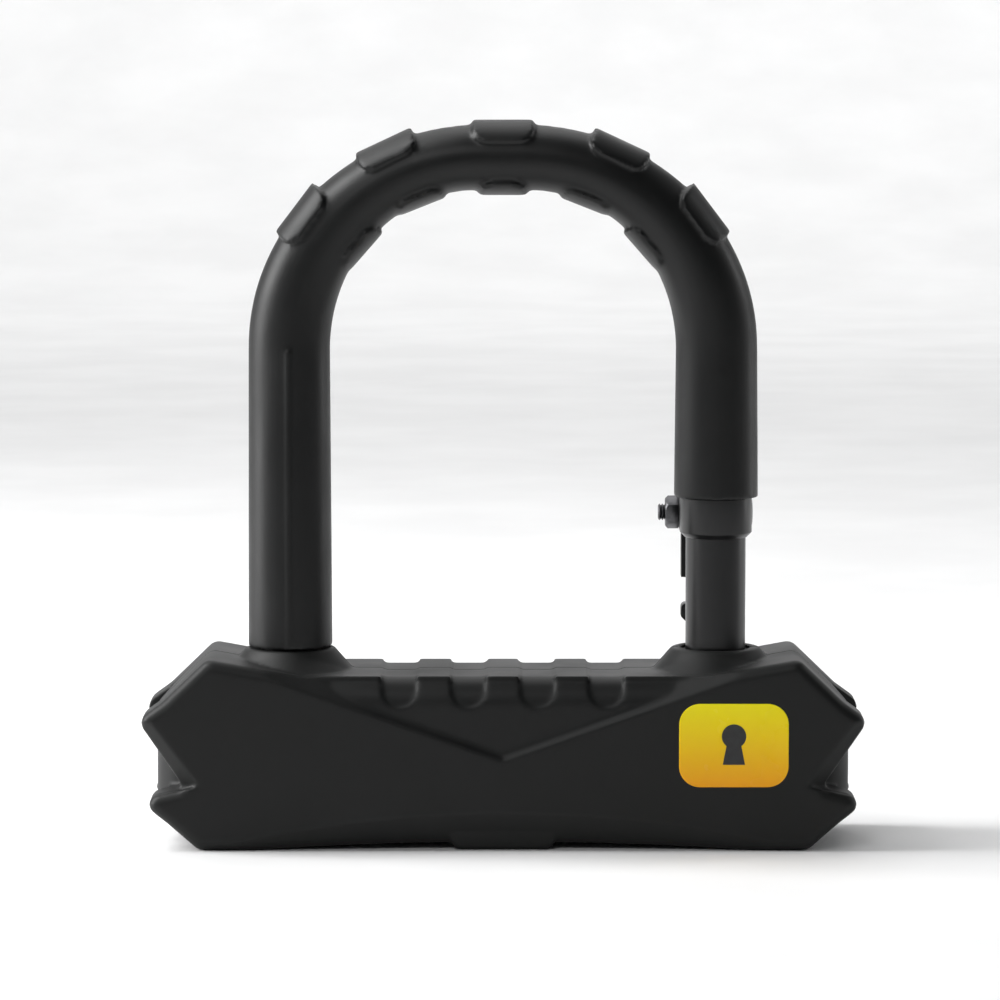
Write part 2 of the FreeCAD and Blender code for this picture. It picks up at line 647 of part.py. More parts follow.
# ---------------------------------------------------------------- steel crossbar
def crossbar_tube():
    outside = rounded_bar_x((-TUBE_X, TUBE_X), (-TUBE_Y, TUBE_Y), TUBE_Z, TUBE_R)
    inside = box((-TUBE_X, TUBE_X), (-TUBE_Y + TUBE_WALL, TUBE_Y - TUBE_WALL),
                 (TUBE_Z[0] + TUBE_WALL, TUBE_Z[1] - TUBE_WALL))
    tools = [inside, rod(HOUSING_R + 0.1, (0, 0, 0), (0, 0, 10))]
    for x in (-LEG_X, LEG_X):
        tools.append(rod(LEG_HOLE_R, (x, 0, 30), (x, 0, 40)))
    for x in GUIDE_PIN_X:
        for side in (-x, x):
            tools.append(guide_pin(side, GUIDE_PIN_R + 0.02, 20))
    tools.append(rod(SET_SCREW_R + 0.02, (0, 10, SET_SCREW_Z), (0, 20, SET_SCREW_Z)))
    save("crossbar_tube", outside.cut(tools))


def guide_pin(x, radius, half_length):
    return rod(radius, (x, -half_length, GUIDE_PIN_Z), (x, half_length, GUIDE_PIN_Z))


def end_plugs():
    plug = box((TUBE_X - PLUG_LENGTH, TUBE_X), (-INSIDE_Y, INSIDE_Y), INSIDE_Z)
    save("end_plug_right", plug)
    save("end_plug_left", mirror_x(plug))


def leg_guides():
    """Blocks that hold the shackle legs and carry the deadbolts."""
    block = box(GUIDE_X, (-INSIDE_Y, INSIDE_Y), INSIDE_Z)
    shelf = box((SHELF_X, GUIDE_X[0]), (-INSIDE_Y, INSIDE_Y), (INSIDE_Z[0], SHELF_Z))
    tools = [rod(GUIDE_BORE, (LEG_X, 0, GUIDE_FLOOR_Z), (LEG_X, 0, 40)),
             box((GUIDE_X[0], LEG_X), (-CHANNEL_HALF, CHANNEL_HALF), (CHANNEL_Z, 40))]
    for x in GUIDE_PIN_X:
        tools.append(guide_pin(x, GUIDE_PIN_R + 0.02, 20))
    for y in (-PLATE_SCREW_Y, PLATE_SCREW_Y):
        tools.append(rod(PLATE_SCREW_R + 0.05, (PLATE_SCREW_X, y, PLATE_SCREW_FOOT_Z - 1.2),
                         (PLATE_SCREW_X, y, 30)))
    guide = join([block, shelf]).cut(tools)
    save("leg_guide_right", guide)
    save("leg_guide_left", mirror_x(guide))


def guide_pins():
    pins = []
    for x in GUIDE_PIN_X:
        for side in (-x, x):
            pins.append(guide_pin(side, GUIDE_PIN_R, GUIDE_PIN_END))
    save("guide_pins", *pins)


# ---------------------------------------------------------------- lock cylinder
def cylinder_housing():
    body = rod(HOUSING_R, (0, 0, HOUSING_Z[0]), (0, 0, HOUSING_Z[1]))
    flange = rod(FLANGE_R, (0, 0, FLANGE_Z[0]), (0, 0, FLANGE_Z[1]))
    tools = [rod(HOUSING_BORE, (0, 0, LIP_TOP_Z), (0, 0, HOUSING_Z[1])),
             rod(LIP_BORE, (0, 0, HOUSING_Z[0]), (0, 0, LIP_TOP_Z)),
             rod(SET_SCREW_R + 0.02, (0, SET_SCREW_Y[0] - 0.1, SET_SCREW_Z), (0, 12, SET_SCREW_Z))]
    groove_r = SIDEBAR_R + SIDEBAR_PLAY
    groove_z = (SIDEBAR_Z[0] - 0.2, SIDEBAR_Z[1] + 0.2)
    tools.append(rod(groove_r, (SIDEBAR_OUT_X, 0, groove_z[0]), (SIDEBAR_OUT_X, 0, groove_z[1])))
    tools.append(rod(groove_r, (0, SIDEBAR_OUT_X, groove_z[0]), (0, SIDEBAR_OUT_X, groove_z[1])))
    save("cylinder_housing", join([body, flange]).cut(tools))


def cylinder_set_screw():
    screw = rod(SET_SCREW_R, (0, SET_SCREW_Y[0], SET_SCREW_Z), (0, SET_SCREW_Y[1], SET_SCREW_Z))
    slot = box((-0.3, 0.3), (SET_SCREW_Y[1] - 0.8, SET_SCREW_Y[1]), (SET_SCREW_Z - 2, SET_SCREW_Z + 2))
    save("cylinder_set_screw", screw.cut(slot))


def lock_plug():
    body = rod(PLUG_R, (0, 0, PLUG_Z[0]), (0, 0, PLUG_Z[1]))
    nose = rod(NOSE_R, (0, 0, HOUSING_Z[0] + 0.1), (0, 0, PLUG_Z[0]))
    tools = [rod(PLUG_BORE, (0, 0, PLUG_Z[0]), (0, 0, PLUG_Z[1])),
             rod(NOSE_BORE, (0, 0, 0), (0, 0, PLUG_Z[0])),
             box(SIDEBAR_SLOT_X, (-SIDEBAR_SLOT_HALF, SIDEBAR_SLOT_HALF),
                 (SIDEBAR_Z[0] - 0.1, SIDEBAR_Z[1] + 0.1))]
    save("lock_plug", join([body, nose]).cut(tools))


def plug_tail():
    disc = rod(PLUG_R, (0, 0, PLUG_Z[1] + 0.1), (0, 0, HOUSING_Z[1] - 0.1))
    square = box((-TAIL_HALF, TAIL_HALF), (-TAIL_HALF, TAIL_HALF), (HOUSING_Z[1] - 0.2, CAM_Z[1]))
    neck = rod(TAIL_NECK_R, (0, 0, CAM_Z[1] - 0.1), (0, 0, PLATE_Z[0] - 0.1))
    save("plug_tail", join([disc, square, neck]))


def anti_drill_disc():
    disc = rod(NOSE_BORE - 0.1, (0, 0, HOUSING_Z[0] + 0.2), (0, 0, PLUG_Z[0] - 0.1))
    save("anti_drill_disc", disc.cut(key_slot(0, 6)))


def key_slot(z0, z1):
    return box((-KEY_SLOT[0] / 2, KEY_SLOT[0] / 2), (-KEY_SLOT[1] / 2, KEY_SLOT[1] / 2), (z0, z1))


def detainer_discs():
    """Turning discs with a keyway and, once lined up, a notch for the sidebar."""
    discs = []
    spacers = []
    for i in range(DISC_COUNT):
        low = DISC_FIRST_Z + DISC_PITCH * i
        disc = rod(DISC_R, (0, 0, low), (0, 0, low + DISC_THICK))
        notch = rod(SIDEBAR_R + SIDEBAR_PLAY, (SIDEBAR_X, 0, low), (SIDEBAR_X, 0, low + DISC_THICK))
        discs.append(disc.cut([key_slot(low - 1, low + 3), notch]))
        if i < DISC_COUNT - 1:
            top = low + DISC_THICK
            ring = rod(DISC_R, (0, 0, top + 0.05), (0, 0, top + 0.05 + SPACER_THICK))
            hole = rod(SPACER_BORE, (0, 0, top), (0, 0, top + 1))
            mouth = rod(SIDEBAR_R + SIDEBAR_PLAY, (SIDEBAR_X, 0, top), (SIDEBAR_X, 0, top + 1))
            spacers.append(ring.cut([hole, mouth]))
    save("detainer_discs", *discs)
    save("disc_spacers", *spacers)


def sidebar():
    save("sidebar", rod(SIDEBAR_R, (SIDEBAR_X, 0, SIDEBAR_Z[0]), (SIDEBAR_X, 0, SIDEBAR_Z[1])))


# ---------------------------------------------------------------- cam and deadbolts
def spiral_slot():
    """Slot whose radius grows evenly over a quarter turn, so the pin's travel does too."""
    rise = BOLT_TRAVEL / (math.pi / 2)
    sides = {1: [], -1: []}
    for i in range(SLOT_STEPS + 1):
        back = (math.pi / 2) * i / SLOT_STEPS
        radius = PIN_X + rise * back
        outward = V(math.cos(back), -math.sin(back), 0)
        around = V(-math.sin(back), -math.cos(back), 0)
        tangent = (outward * rise + around * radius).normalize()
        normal = V(tangent.y, -tangent.x, 0)
        for side in sides:
            sides[side].append(outward * radius + normal * (SLOT_HALF * side))
    edges = []
    for side in sides:
        curve = Part.BSplineCurve()
        curve.interpolate(sides[side])
        edges.append(curve.toShape())
    edges.append(Part.LineSegment(sides[1][0], sides[-1][0]).toShape())
    edges.append(Part.LineSegment(sides[1][-1], sides[-1][-1]).toShape())
    face = Part.Face(Part.Wire(Part.__sortEdges__(edges)))
    low = CAM_Z[0] - 1
    high = CAM_Z[1] + 1
    face.translate(V(0, 0, low))
    slot = face.extrude(V(0, 0, high - low))
    far = PIN_X + BOLT_TRAVEL
    ends = [rod(SLOT_HALF, (PIN_X, 0, low), (PIN_X, 0, high)),
            rod(SLOT_HALF, (0, -far, low), (0, -far, high))]
    return slot.fuse(ends)


def scroll_cam():
    disc = rod(CAM_R, (0, 0, CAM_Z[0]), (0, 0, CAM_Z[1]))
    slot = spiral_slot()
    other = slot.copy()
    other.rotate(V(0, 0, 0), AXIS_Z, 180)
    side = TAIL_HALF + 0.05
    square = box((-side, side), (-side, side), (CAM_Z[0] - 1, CAM_Z[1] + 1))
    save("scroll_cam", disc.cut([slot, other, square]))


def cam_clip():
    low = CAM_Z[1] + 0.05
    clip = rod(CLIP_R, (0, 0, low), (0, 0, low + CLIP_THICK))
    hole = rod(TAIL_NECK_R + 0.05, (0, 0, CAM_Z[1]), (0, 0, CAM_Z[1] + 1))
    mouth = box((-CLIP_MOUTH, CLIP_MOUTH), (-5, 0), (CAM_Z[1], CAM_Z[1] + 1))
    save("cam_clip", clip.cut([hole, mouth]))


def bolt_guide_plate():
    plate = box((-PLATE_X, PLATE_X), (-INSIDE_Y, INSIDE_Y), PLATE_Z)
    through = (PLATE_Z[0] - 1, PLATE_Z[1] + 1)
    tools = [rod(2.0, (0, 0, through[0]), (0, 0, through[1]))]
    for side in (-1, 1):
        near = side * PIN_X
        far = side * (PIN_X + BOLT_TRAVEL)
        tools.append(box(sorted((near, far)), (-SLOT_HALF, SLOT_HALF), through))
        tools.append(rod(SLOT_HALF, (near, 0, through[0]), (near, 0, through[1])))
        tools.append(rod(SLOT_HALF, (far, 0, through[0]), (far, 0, through[1])))
        for y in (-PLATE_SCREW_Y, PLATE_SCREW_Y):
            x = side * PLATE_SCREW_X
            tools.append(rod(1.6, (x, y, through[0]), (x, y, through[1])))
    save("bolt_guide_plate", plate.cut(tools))


def plate_screws():
    screws = []
    for x in (-PLATE_SCREW_X, PLATE_SCREW_X):
        for y in (-PLATE_SCREW_Y, PLATE_SCREW_Y):
            shank = rod(PLATE_SCREW_R, (x, y, PLATE_SCREW_FOOT_Z), (x, y, PLATE_Z[1]))
            head_z = (PLATE_Z[1], PLATE_Z[1] + PLATE_SCREW_HEAD_H)
            head = rod(PLATE_SCREW_HEAD_R, (x, y, head_z[0]), (x, y, head_z[1]))
            slot = box((x - PLATE_SCREW_HEAD_R, x + PLATE_SCREW_HEAD_R), (y - 0.3, y + 0.3),
                       (head_z[1] - 0.7, head_z[1] + 1))
            screws.append(join([shank, head]).cut(slot))
    save("plate_screws", *screws)


def deadbolts():
    bolt = box(BOLT_SLIDE_X, (-BOLT_SLIDE_Y, BOLT_SLIDE_Y), BOLT_SLIDE_Z)
    tip = [edge for edge in bolt.Edges
           if edge.BoundBox.XMin > BOLT_SLIDE_X[1] - 0.01 and edge.BoundBox.ZLength > 1]
    bolt = bolt.makeChamfer(0.8, tip)
    bolt = bolt.cut(rod(PIN_R + 0.02, (PIN_X, 0, BOLT_SLIDE_Z[0]), (PIN_X, 0, 33.1)))
    pin = rod(PIN_R, (PIN_X, 0, CAM_Z[0] + 0.5), (PIN_X, 0, 33))
    save("deadbolt_right", bolt)
    save("deadbolt_left", mirror_x(bolt))
    save("drive_pin_right", pin)
    save("drive_pin_left", mirror_x(pin))


def main():
    os.makedirs("parts", exist_ok=True)
    shackle_rod()
    shackle_sleeve()
    clamp_ring()
    bracket_tongue()
    clamp_bolt()
    clamp_nut()
    body = cover_body()
    front_cover(body)
    rear_cover(body)
    cover_screws()
    badge()
    leg_seals()
    dust_cover()
    crossbar_tube()
    end_plugs()
    leg_guides()
    guide_pins()
    cylinder_housing()
    cylinder_set_screw()
    lock_plug()
    plug_tail()
    anti_drill_disc()
    detainer_discs()
    sidebar()
    scroll_cam()
    cam_clip()
    bolt_guide_plate()
    plate_screws()
    deadbolts()


main()
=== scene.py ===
# %% [markdown]
# # A U lock, dressed for its portrait
# The lock comes out of the design tool as a fixed frame: every piece is at its real
# size, in metres, and in its real place. Here the visible pieces get the soft edges of
# a moulding or a casting, and every piece gets the finish of its real material.
# The frame is loaded first, because every size and place below is read from it.

# %% Load the frame
import json
import math

import bpy
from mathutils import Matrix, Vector


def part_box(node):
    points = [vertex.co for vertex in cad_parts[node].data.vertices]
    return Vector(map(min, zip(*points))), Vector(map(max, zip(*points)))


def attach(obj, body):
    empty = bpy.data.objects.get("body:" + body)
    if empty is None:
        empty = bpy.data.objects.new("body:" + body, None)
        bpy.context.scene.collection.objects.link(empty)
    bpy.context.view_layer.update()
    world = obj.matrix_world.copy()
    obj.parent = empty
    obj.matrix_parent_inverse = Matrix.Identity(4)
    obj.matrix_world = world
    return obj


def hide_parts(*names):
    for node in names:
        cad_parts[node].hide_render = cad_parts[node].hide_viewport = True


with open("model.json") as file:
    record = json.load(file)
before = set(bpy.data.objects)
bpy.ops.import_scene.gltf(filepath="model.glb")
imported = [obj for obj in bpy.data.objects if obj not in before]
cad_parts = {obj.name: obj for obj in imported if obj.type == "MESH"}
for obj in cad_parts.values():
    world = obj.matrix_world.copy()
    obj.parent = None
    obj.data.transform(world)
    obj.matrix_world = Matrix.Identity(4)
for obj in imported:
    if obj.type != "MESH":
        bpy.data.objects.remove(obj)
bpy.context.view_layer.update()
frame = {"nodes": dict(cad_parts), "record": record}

# %% [markdown]
# ## Units and selection
# Blender works in metres and a maker thinks in millimetres, so one name turns one into
# the other. An operator acts on whatever is selected, and the frame arrives with all its
# nodes selected, so each piece starts by deselecting everything and selecting itself.

# %% Helpers for selection
MM = 0.001


def only(piece):
    """Leave edit mode and make this piece the only one that is selected."""
    if bpy.context.object and bpy.context.object.mode != "OBJECT":
        bpy.ops.object.mode_set(mode="OBJECT")
    bpy.ops.object.select_all(action="DESELECT")
    piece.select_set(True)
    bpy.context.view_layer.objects.active = piece


def pick(piece, kind, test):
    """Open a piece in edit mode with the vertices, edges or faces selected that pass a test."""
    only(piece)
    bpy.context.tool_settings.mesh_select_mode = [kind == mode for mode in ("VERT", "EDGE", "FACE")]
    mesh = piece.data
    for things in (mesh.vertices, mesh.edges, mesh.polygons):
        things.foreach_set("select", [False] * len(things))
    if kind == "VERT":
        for vertex in mesh.vertices:
            vertex.select = test(vertex.co)
    if kind == "EDGE":
        for edge in mesh.edges:
            start, end = (mesh.vertices[i].co for i in edge.vertices)
            edge.select = test(start, end)
    if kind == "FACE":
        for face in mesh.polygons:
            face.select = test(face.center, face.normal)
    bpy.ops.object.mode_set(mode="EDIT")


def everywhere(piece):
    """Open a piece in edit mode with all of it selected."""
    only(piece)
    bpy.ops.object.mode_set(mode="EDIT")
    bpy.ops.mesh.select_mode(type="VERT")
    bpy.ops.mesh.select_all(action="SELECT")


# %% [markdown]
# ## Finishing a mesh
# Every piece ends in the same way. Its modifiers are applied, its place goes into its
# mesh, points that coincide are merged, and its faces are turned outwards. Edges that
# turn by more than a given angle stay sharp, and the others are shaded smooth.

# %% Helpers for finishing a mesh
MERGE = 0.002 * MM
SMOOTH_ANGLE = math.radians(35)
SOFT_ANGLE = math.radians(50)   # for pieces that were smoothed already


def modify(piece, kind, **settings):
    """Add a modifier with its settings and apply it."""
    only(piece)
    modifier = piece.modifiers.new(kind.title(), kind)
    for name, value in settings.items():
        setattr(modifier, name, value)
    bpy.ops.object.modifier_apply(modifier=modifier.name)


def settle(piece, name):
    """Name a piece, put its place into its mesh, merge doubles and turn its faces out."""
    only(piece)
    piece.name = name
    bpy.ops.object.transform_apply(location=True, rotation=True, scale=True)
    everywhere(piece)
    bpy.ops.mesh.remove_doubles(threshold=MERGE)
    bpy.ops.mesh.normals_make_consistent(inside=False)
    only(piece)
    bpy.ops.object.shade_smooth_by_angle(angle=SMOOTH_ANGLE)
    print(name, len(piece.data.polygons), "faces")
    return piece


def twin(piece, name):
    """A second piece with its own copy of the first one's mesh."""
    other = bpy.data.objects.new(name, piece.data.copy())
    bpy.context.scene.collection.objects.link(other)
    return other


def copy_of(node, name):
    """A copy of a CAD node's mesh as a new piece, with its loose triangles merged."""
    return settle(twin(frame["nodes"][node], name), name)


def shade_soft(piece):
    """Shade a smoothed piece and print how many triangles it has."""
    only(piece)
    bpy.ops.object.shade_smooth_by_angle(angle=SOFT_ANGLE)
    print(piece.name, sum(len(face.vertices) - 2 for face in piece.data.polygons), "triangles")


def join(pieces, name):
    """Make several pieces one."""
    only(pieces[0])
    for piece in pieces:
        piece.select_set(True)
    bpy.ops.object.join()
    pieces[0].name = name
    return pieces[0]


def dress(piece, body, slot, material, *nodes):
    """Give a finished piece its material and its body, and hide the nodes it stands for. The slot is
    not used.
    """
    piece.data.materials.clear()
    piece.data.materials.append(material)
    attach(piece, body)
    if nodes:
        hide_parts(*nodes)


def block(name, low, high):
    """A plain block between two corners, to shape further or to cut with."""
    bpy.ops.object.select_all(action="DESELECT")
    bpy.ops.mesh.primitive_cube_add(size=1.0, location=(low + high) / 2, scale=high - low)
    return settle(bpy.context.object, name)


# %% [markdown]
# ## Sizes that the frame gives
# The bar's radius is half its depth, its legs stand one radius inside its width, and
# its bends start one bend radius under the middle of its crown. Only the radius of the
# bends is said again.

# %% Sizes of the shackle
BEND_R = 45.6 * MM
rod_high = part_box("shackle_rod")[1]
ROD_R = rod_high.y
LEG_X = rod_high.x - ROD_R
BEND_Z = rod_high.z - ROD_R - BEND_R
print("bar radius", ROD_R, "legs at", LEG_X, "bends start at", BEND_Z)

# %% [markdown]
# ## Camera
# A long lens far away keeps the two legs parallel, as in a product picture. The camera
# stands a little above the lock, so the top faces of the crossbar just show.

# %% Camera
VIEW_DISTANCE = 1.2
VIEW_ELEVATION = math.radians(6.0)
LENS = 180.0
FAR_CLIP = 100.0          # metres, well past the sweep
AIM = Vector((-0.7 * MM, 0.0, 82.0 * MM))

away = Vector((0.0, -math.cos(VIEW_ELEVATION), math.sin(VIEW_ELEVATION)))
camera_data = bpy.data.cameras.new("camera")
camera_data.lens = LENS
camera_data.clip_end = FAR_CLIP
camera = bpy.data.objects.new("camera", camera_data)
bpy.context.scene.collection.objects.link(camera)
camera.location = AIM + away * VIEW_DISTANCE
camera.rotation_euler = (-away).to_track_quat("-Z", "Y").to_euler()
bpy.context.scene.camera = camera
print("camera", VIEW_DISTANCE, "m from", AIM)

# %% [markdown]
# ## Floor
# A pale sweep, which is a floor that curves up into a wall, gives a plain background
# with no horizon. The wall stands well behind the lock, so that the lock can be seen
# from all round inside it. It starts as a plane, whose far edge is extruded upwards and
# whose fold is bevelled into a wide bend.

# %% Floor
SWEEP = 3.0
SWEEP_BEND = 1.2
SWEEP_STEPS = 16

bpy.ops.object.select_all(action="DESELECT")
bpy.ops.mesh.primitive_plane_add(size=2 * SWEEP, location=(0, 0, 0))
floor = bpy.context.object
floor.name = "floor"
pick(floor, "EDGE", lambda a, b: min(a.y, b.y) > SWEEP - MM)
bpy.ops.mesh.extrude_region_move(TRANSFORM_OT_translate={"value": (0, 0, SWEEP)})
pick(floor, "EDGE", lambda a, b: min(a.y, b.y) > SWEEP - MM and max(a.z, b.z) < MM)
bpy.ops.mesh.bevel(offset=SWEEP_BEND, segments=SWEEP_STEPS, affect="EDGES")
only(floor)
bpy.ops.object.shade_smooth()
print("floor", len(floor.data.polygons), "faces")

# %% [markdown]
# ## Light
# Black pieces are drawn by what they reflect, so their shape comes from soft boxes. The
# key light is a tall one at the left that reaches from the floor to above the lock. One
# overhead lights the top faces, a narrow one at the right draws a thin rim, and a weak
# one in front lifts the badge. The last one evens out the wall.


# %% Lights
def soft_box(name, place, aim, size, power):
    """A rectangular area light that points from its place to its aim."""
    data = bpy.data.lights.new(name, "AREA")
    data.shape = "RECTANGLE"
    data.size, data.size_y = size
    data.energy = power
    lamp = bpy.data.objects.new(name, data)
    bpy.context.scene.collection.objects.link(lamp)
    lamp.location = place
    lamp.rotation_euler = (Vector(aim) - Vector(place)).to_track_quat("-Z", "Y").to_euler()


MIDDLE = (0, 0, 0.09)
WORLD_TINT = (0.95, 0.97, 1.0, 1.0)
WORLD_STRENGTH = 0.1      # only enough to keep the deepest shadows from going black

soft_box("key_light", (-0.8, 0.05, 0.58), MIDDLE, (0.4, 1.25), 18.0)
soft_box("top_light", (-0.1, 0.4, 0.95), MIDDLE, (0.9, 0.7), 3.2)
soft_box("rim_light", (0.8, 0.3, 0.3), MIDDLE, (0.12, 0.7), 1.5)
soft_box("fill_light", (-0.35, -0.9, 0.9), MIDDLE, (0.5, 0.5), 3.0)
soft_box("wall_light", (0, 1.7, 1.9), (0, 3.0, 0.5), (3.0, 0.5), 42.0)

world = bpy.data.worlds.new("studio")
bpy.context.scene.world = world
world.use_nodes = True
backdrop = world.node_tree.nodes["Background"]
backdrop.inputs["Color"].default_value = WORLD_TINT
backdrop.inputs["Strength"].default_value = WORLD_STRENGTH
bpy.context.scene.view_settings.view_transform = "Standard"
print(len(bpy.data.lights), "soft boxes")

# %% [markdown]
# ## How a finish is built
# A colour is given as an sRGB hex value and a shader needs linear light, so one
# function turns one into the other. A second function adds a node with its settings,
# the values of its sockets and the links that feed it. Patterns follow the piece in
# Object coordinates, and their scale is worked out from a size in millimetres.


# %% Helpers for materials
def linear(hex_colour):
    """A hex colour such as 2b2b2c as linear red, green, blue and alpha."""
    values = []
    for i in (0, 2, 4):
        share = int(hex_colour[i:i + 2], 16) / 255
        values.append(share / 12.92 if share <= 0.04045 else ((share + 0.055) / 1.055) ** 2.4)
    return (*values, 1.0)


def add(tree, kind, values=None, links=None, **settings):
    """Add one node with its settings, its sockets' values and its links."""
    node = tree.nodes.new(kind)
    for name, value in settings.items():
        setattr(node, name, value)
    for socket, value in (values or {}).items():
        node.inputs[socket].default_value = value
    for socket, source in (links or {}).items():
        tree.links.new(source, node.inputs[socket])
    return node


def per_mm(size):
    """The Scale of a noise texture whose spots are this many millimetres wide."""
    return 1.0 / (size * MM)


# %% [markdown]
# All the finishes of this lock are built alike. Large soft clouds move the tone and the
# gloss a little, because no moulding, coat or casting is quite even, and a fine grain
# breaks up the reflections. Only colours, gloss and sizes differ. A print can let its
# colour follow the height instead of the clouds.

# %% One builder for all finishes
NOISE_LOW = 0.35          # nearly all of a noise texture lies between these two
NOISE_HIGH = 0.65
BUMP_STRENGTH = 0.5
MIX = {"share": 0, "from": 6, "to": 7, "result": 2}   # a colour Mix node's own sockets


def surface(name, dark, light, gloss, cloud, grain, relief, rise=None, **shader):
    """A finish with clouds and grain in mm, whose tone may follow the height over a rise."""
    material = bpy.data.materials.new(name)
    material.use_nodes = True
    tree = material.node_tree
    tree.nodes.clear()
    place = add(tree, "ShaderNodeTexCoord").outputs["Object"]
    clouds = add(tree, "ShaderNodeTexNoise", {"Scale": per_mm(cloud), "Detail": 5.0},
                 {"Vector": place}).outputs["Fac"]
    grains = add(tree, "ShaderNodeTexNoise", {"Scale": per_mm(grain), "Detail": 3.0, "Roughness": 0.6},
                 {"Vector": place}).outputs["Fac"]
    share = add(tree, "ShaderNodeMapRange", {"From Min": NOISE_LOW, "From Max": NOISE_HIGH},
                {"Value": clouds}).outputs["Result"]
    tone_share = share
    if rise:
        height = add(tree, "ShaderNodeSeparateXYZ", links={"Vector": place}).outputs["Z"]
        tone_share = add(tree, "ShaderNodeMapRange", {"From Min": rise[0], "From Max": rise[1]},
                         {"Value": height}).outputs["Result"]
    tone = add(tree, "ShaderNodeMix", {MIX["from"]: linear(dark), MIX["to"]: linear(light)},
               {MIX["share"]: tone_share}, data_type="RGBA")
    rough = add(tree, "ShaderNodeMapRange", {"To Min": gloss[0], "To Max": gloss[1]},
                {"Value": share})
    bump = add(tree, "ShaderNodeBump", {"Strength": BUMP_STRENGTH, "Distance": relief * MM},
               {"Height": grains})
    skin = add(tree, "ShaderNodeBsdfPrincipled", shader,
               {"Base Color": tone.outputs[MIX["result"]],
                "Roughness": rough.outputs["Result"], "Normal": bump.outputs["Normal"]})
    add(tree, "ShaderNodeOutputMaterial", links={"Surface": skin.outputs["BSDF"]})
    print("finish", name)
    return material


# %% [markdown]
# ## Cover plastic
# The covers are moulded in glass-filled nylon in a spark-eroded mould and have a
# rubbery soft-touch coat. The eye sees a near-black neutral grey with a wide, weak
# sheen, a grain of about 0.4 mm, and slightly glossier patches where hands rub it.

# %% Cover plastic
COVER_PLASTIC = surface("soft_touch_nylon", "0d0e0e", "121312", (0.46, 0.58), 25.0, 0.4, 0.03,
                        **{"IOR": 1.38, "Sheen Weight": 0.02, "Sheen Roughness": 0.4})

# %% [markdown]
# ## Sleeve rubber
# The sleeve is a thermoplastic rubber, moulded straight and pushed over the bar. The
# eye sees a shade darker than the covers, with a broad satin gloss.

# %% Sleeve rubber
SLEEVE_RUBBER = surface("thermoplastic_rubber", "080909", "0e0f0f", (0.40, 0.50), 18.0, 0.5, 0.04,
                        **{"IOR": 1.4})

# %% [markdown]
# ## Coated and plated steel
# The bar and its clamp are hardened steel under a satin black coat, so they behave like
# paint, not like bare metal: a dark body with a clear, fairly tight highlight. The
# clamp's bolt and nut are black zinc-nickel, a dark metal that shines at its edges.

# %% Coated and plated steel
BAR_COAT = surface("satin_black_coat_on_steel", "0f0f10", "151516", (0.29, 0.37), 12.0, 0.5, 0.015,
                   **{"IOR": 1.45})
DARK_PLATE = surface("black_zinc_nickel_plate", "4a4a4c", "6e6e70", (0.28, 0.42), 3.0, 0.3, 0.01,
                     **{"Metallic": 1.0})

# %% [markdown]
# ## Metals inside the lock
# The tube and the bolts are ground steel, the guides and the housing are die-cast zinc,
# and the discs are machined brass. A metal has no diffuse colour, so its tint is the
# colour of its reflection. Ground and turned metal is glossier than cast metal, which
# keeps the fine skin of its mould.

# %% Metals inside the lock
GROUND_STEEL = surface("ground_steel", "98989a", "b6b6b8", (0.24, 0.38), 6.0, 0.3, 0.008,
                       **{"Metallic": 1.0})
CAST_ZINC = surface("die_cast_zinc", "8c8d90", "acadb0", (0.40, 0.55), 5.0, 0.6, 0.02,
                    **{"Metallic": 1.0})
BRASS = surface("machined_brass", "a9813c", "cba95e", (0.22, 0.36), 4.0, 0.3, 0.008,
                **{"Metallic": 1.0})

# %% [markdown]
# ## Seals, ink and paper
# The leg seals are dull nitrile rubber. The sign on the badge is a thin film of screen
# ink, a little duller than the plate under it. The sweep is matt paper.

# %% Seals, ink and paper
SEAL_RUBBER = surface("nitrile_rubber", "131314", "1c1c1d", (0.6, 0.75), 5.0, 0.5, 0.03,
                      **{"IOR": 1.5})
MARK_INK = surface("screen_print_ink", "202021", "2c2c2d", (0.4, 0.5), 2.0, 0.4, 0.005,
                   **{"IOR": 1.5})
PAPER = surface("pale_paper", "ececec", "f2f2f2", (0.7, 0.8), 80.0, 2.0, 0.01, **{"IOR": 1.3})
floor.data.materials.append(PAPER)

# %% [markdown]
# ## Badge print
# The badge is a printed plastic plate with a clear gloss. Its yellow turns to amber
# towards the foot, so its colour follows the height inside the plate. The first of its
# two colours is the one at the foot.

# %% Badge print
badge_low, badge_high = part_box("badge")
BADGE_PRINT = surface("yellow_print_under_gloss", "fca800", "fcee02", (0.22, 0.3),
                      10.0, 0.6, 0.004, rise=(badge_low.z, badge_high.z), **{"IOR": 1.35})

# %% [markdown]
# ## Crossbar covers
# A moulding has no sharp edges: plastic has to flow round every corner, and the mould
# is polished soft. The frame's covers have the right shape with crisp edges, so copies
# of both halves are made one, rebuilt from small voxels, and smoothed. That blends the
# bosses, the V step, the grips and the notches as flowing plastic would, which bevels on
# so many crossing edges could not. The whole is then cut in two again along its parting
# line. The badge's recess is filled first, so that its floor stays flat.

# %% Join the two halves and fill the badge's recess
COVER_CLOSE = 0.16 * MM   # each half moves this far in, so that the two meet
FILL_MARGIN = 0.5 * MM
FILL_DEPTH = 1.2 * MM

front = copy_of("front_cover", "front_half")
rear = copy_of("rear_cover", "rear_half")
margin = Vector((FILL_MARGIN, 0, FILL_MARGIN))
fill = block("badge_fill", badge_low - margin + Vector((0, COVER_CLOSE, 0)),
             badge_high + margin + Vector((0, FILL_DEPTH, 0)))
for half, shift in ((front, COVER_CLOSE), (rear, -COVER_CLOSE)):
    everywhere(half)
    bpy.ops.transform.translate(value=(0, shift, 0))
whole = join([front, rear, fill], "cover_whole")

